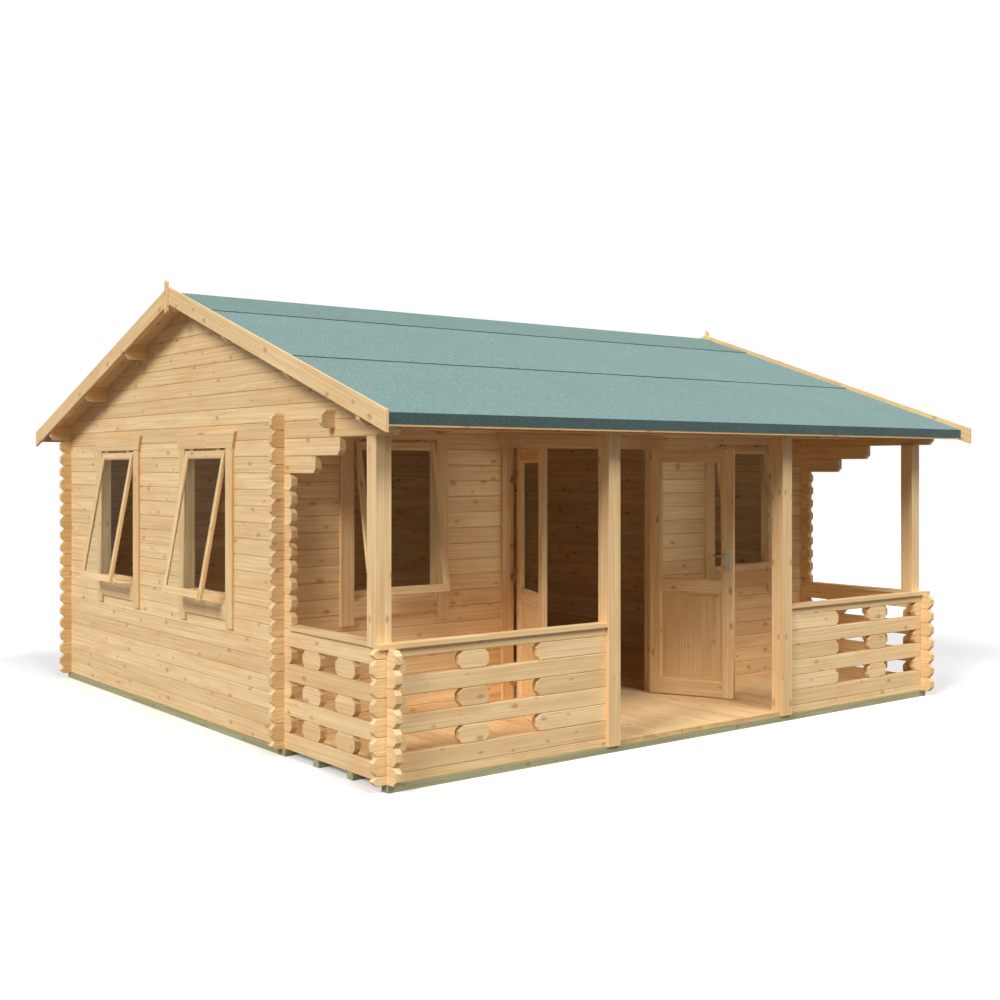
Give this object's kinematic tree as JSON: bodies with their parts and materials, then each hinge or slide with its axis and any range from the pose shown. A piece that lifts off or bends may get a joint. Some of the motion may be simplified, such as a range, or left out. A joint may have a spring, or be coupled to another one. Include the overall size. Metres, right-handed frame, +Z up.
{
  "type": "log cabin",
  "caption": "Log cabin with interlocked corner logs, tilted gable and front windows, glazed double door and a railed veranda under one felted gable roof.",
  "frame": {"origin": "middle of the plan under the ridge, on the ground under the bearers", "axes": "+X along the ridge to the right, -Y to the veranda at the front, +Z up"},
  "size_m": [5.782, 5.95, 3.2927],
  "materials": {
    "log_spruce": "planed, untreated",
    "planed_spruce": "planed smooth, untreated",
    "treated_bearer": "pressure treated, sawn",
    "roofing_felt": "mineral grit, matt",
    "window_glass": "clear",
    "satin_steel": "satin"
  },
  "bodies": {
    "cabin": {"side_bearers": "treated_bearer", "cross_bearers": "treated_bearer", "cabin_floor": "log_spruce", "veranda_deck": "log_spruce", "left_wall_low": "log_spruce", "left_wall_piers": "log_spruce", "corbel_logs": "log_spruce", "left_gable": "log_spruce", "right_wall": "log_spruce", "right_gable": "log_spruce", "back_wall": "log_spruce", "front_wall_low": "log_spruce", "front_wall_piers": "log_spruce", "front_wall_top": "log_spruce", "eave_logs": "log_spruce", "roof_purlins": "log_spruce", "side_rail_logs": "log_spruce", "side_rail_blocks": "log_spruce", "front_rail_logs": "log_spruce", "front_rail_blocks": "log_spruce", "roof_boards_front": "log_spruce", "roof_boards_back": "log_spruce", "handrails": "planed_spruce", "veranda_posts": "planed_spruce", "frame_jambs": "planed_spruce", "frame_heads": "planed_spruce", "casing_sides": "planed_spruce", "casing_heads": "planed_spruce", "window_sashes": "planed_spruce", "fascia_boards": "planed_spruce", "barge_front": "planed_spruce", "barge_back": "planed_spruce", "finials": "planed_spruce", "felt_front": "roofing_felt", "felt_back": "roofing_felt", "window_glass": "window_glass", "frame_hinges": "satin_steel", "sash_hinges": "satin_steel"},
    "left_door": {"left_door_leaf": "planed_spruce", "left_door_glass": "window_glass", "left_door_hinges": "satin_steel"},
    "right_door": {"right_door_leaf": "planed_spruce", "right_door_glass": "window_glass", "right_door_hinges": "satin_steel", "door_handle": "satin_steel"}
  },
  "joints": [
    {"name": "left_door_hinge", "type": "hinge", "parent": "cabin", "child": "left_door", "pos_m": [-0.7435, -1.447, 1], "axis": [0, 0, -1], "range_deg": [-114, 36]},
    {"name": "right_door_hinge", "type": "hinge", "parent": "cabin", "child": "right_door", "pos_m": [0.6835, -1.447, 1], "axis": [0, 0, 1], "range_deg": [-114, 36]}
  ]
}
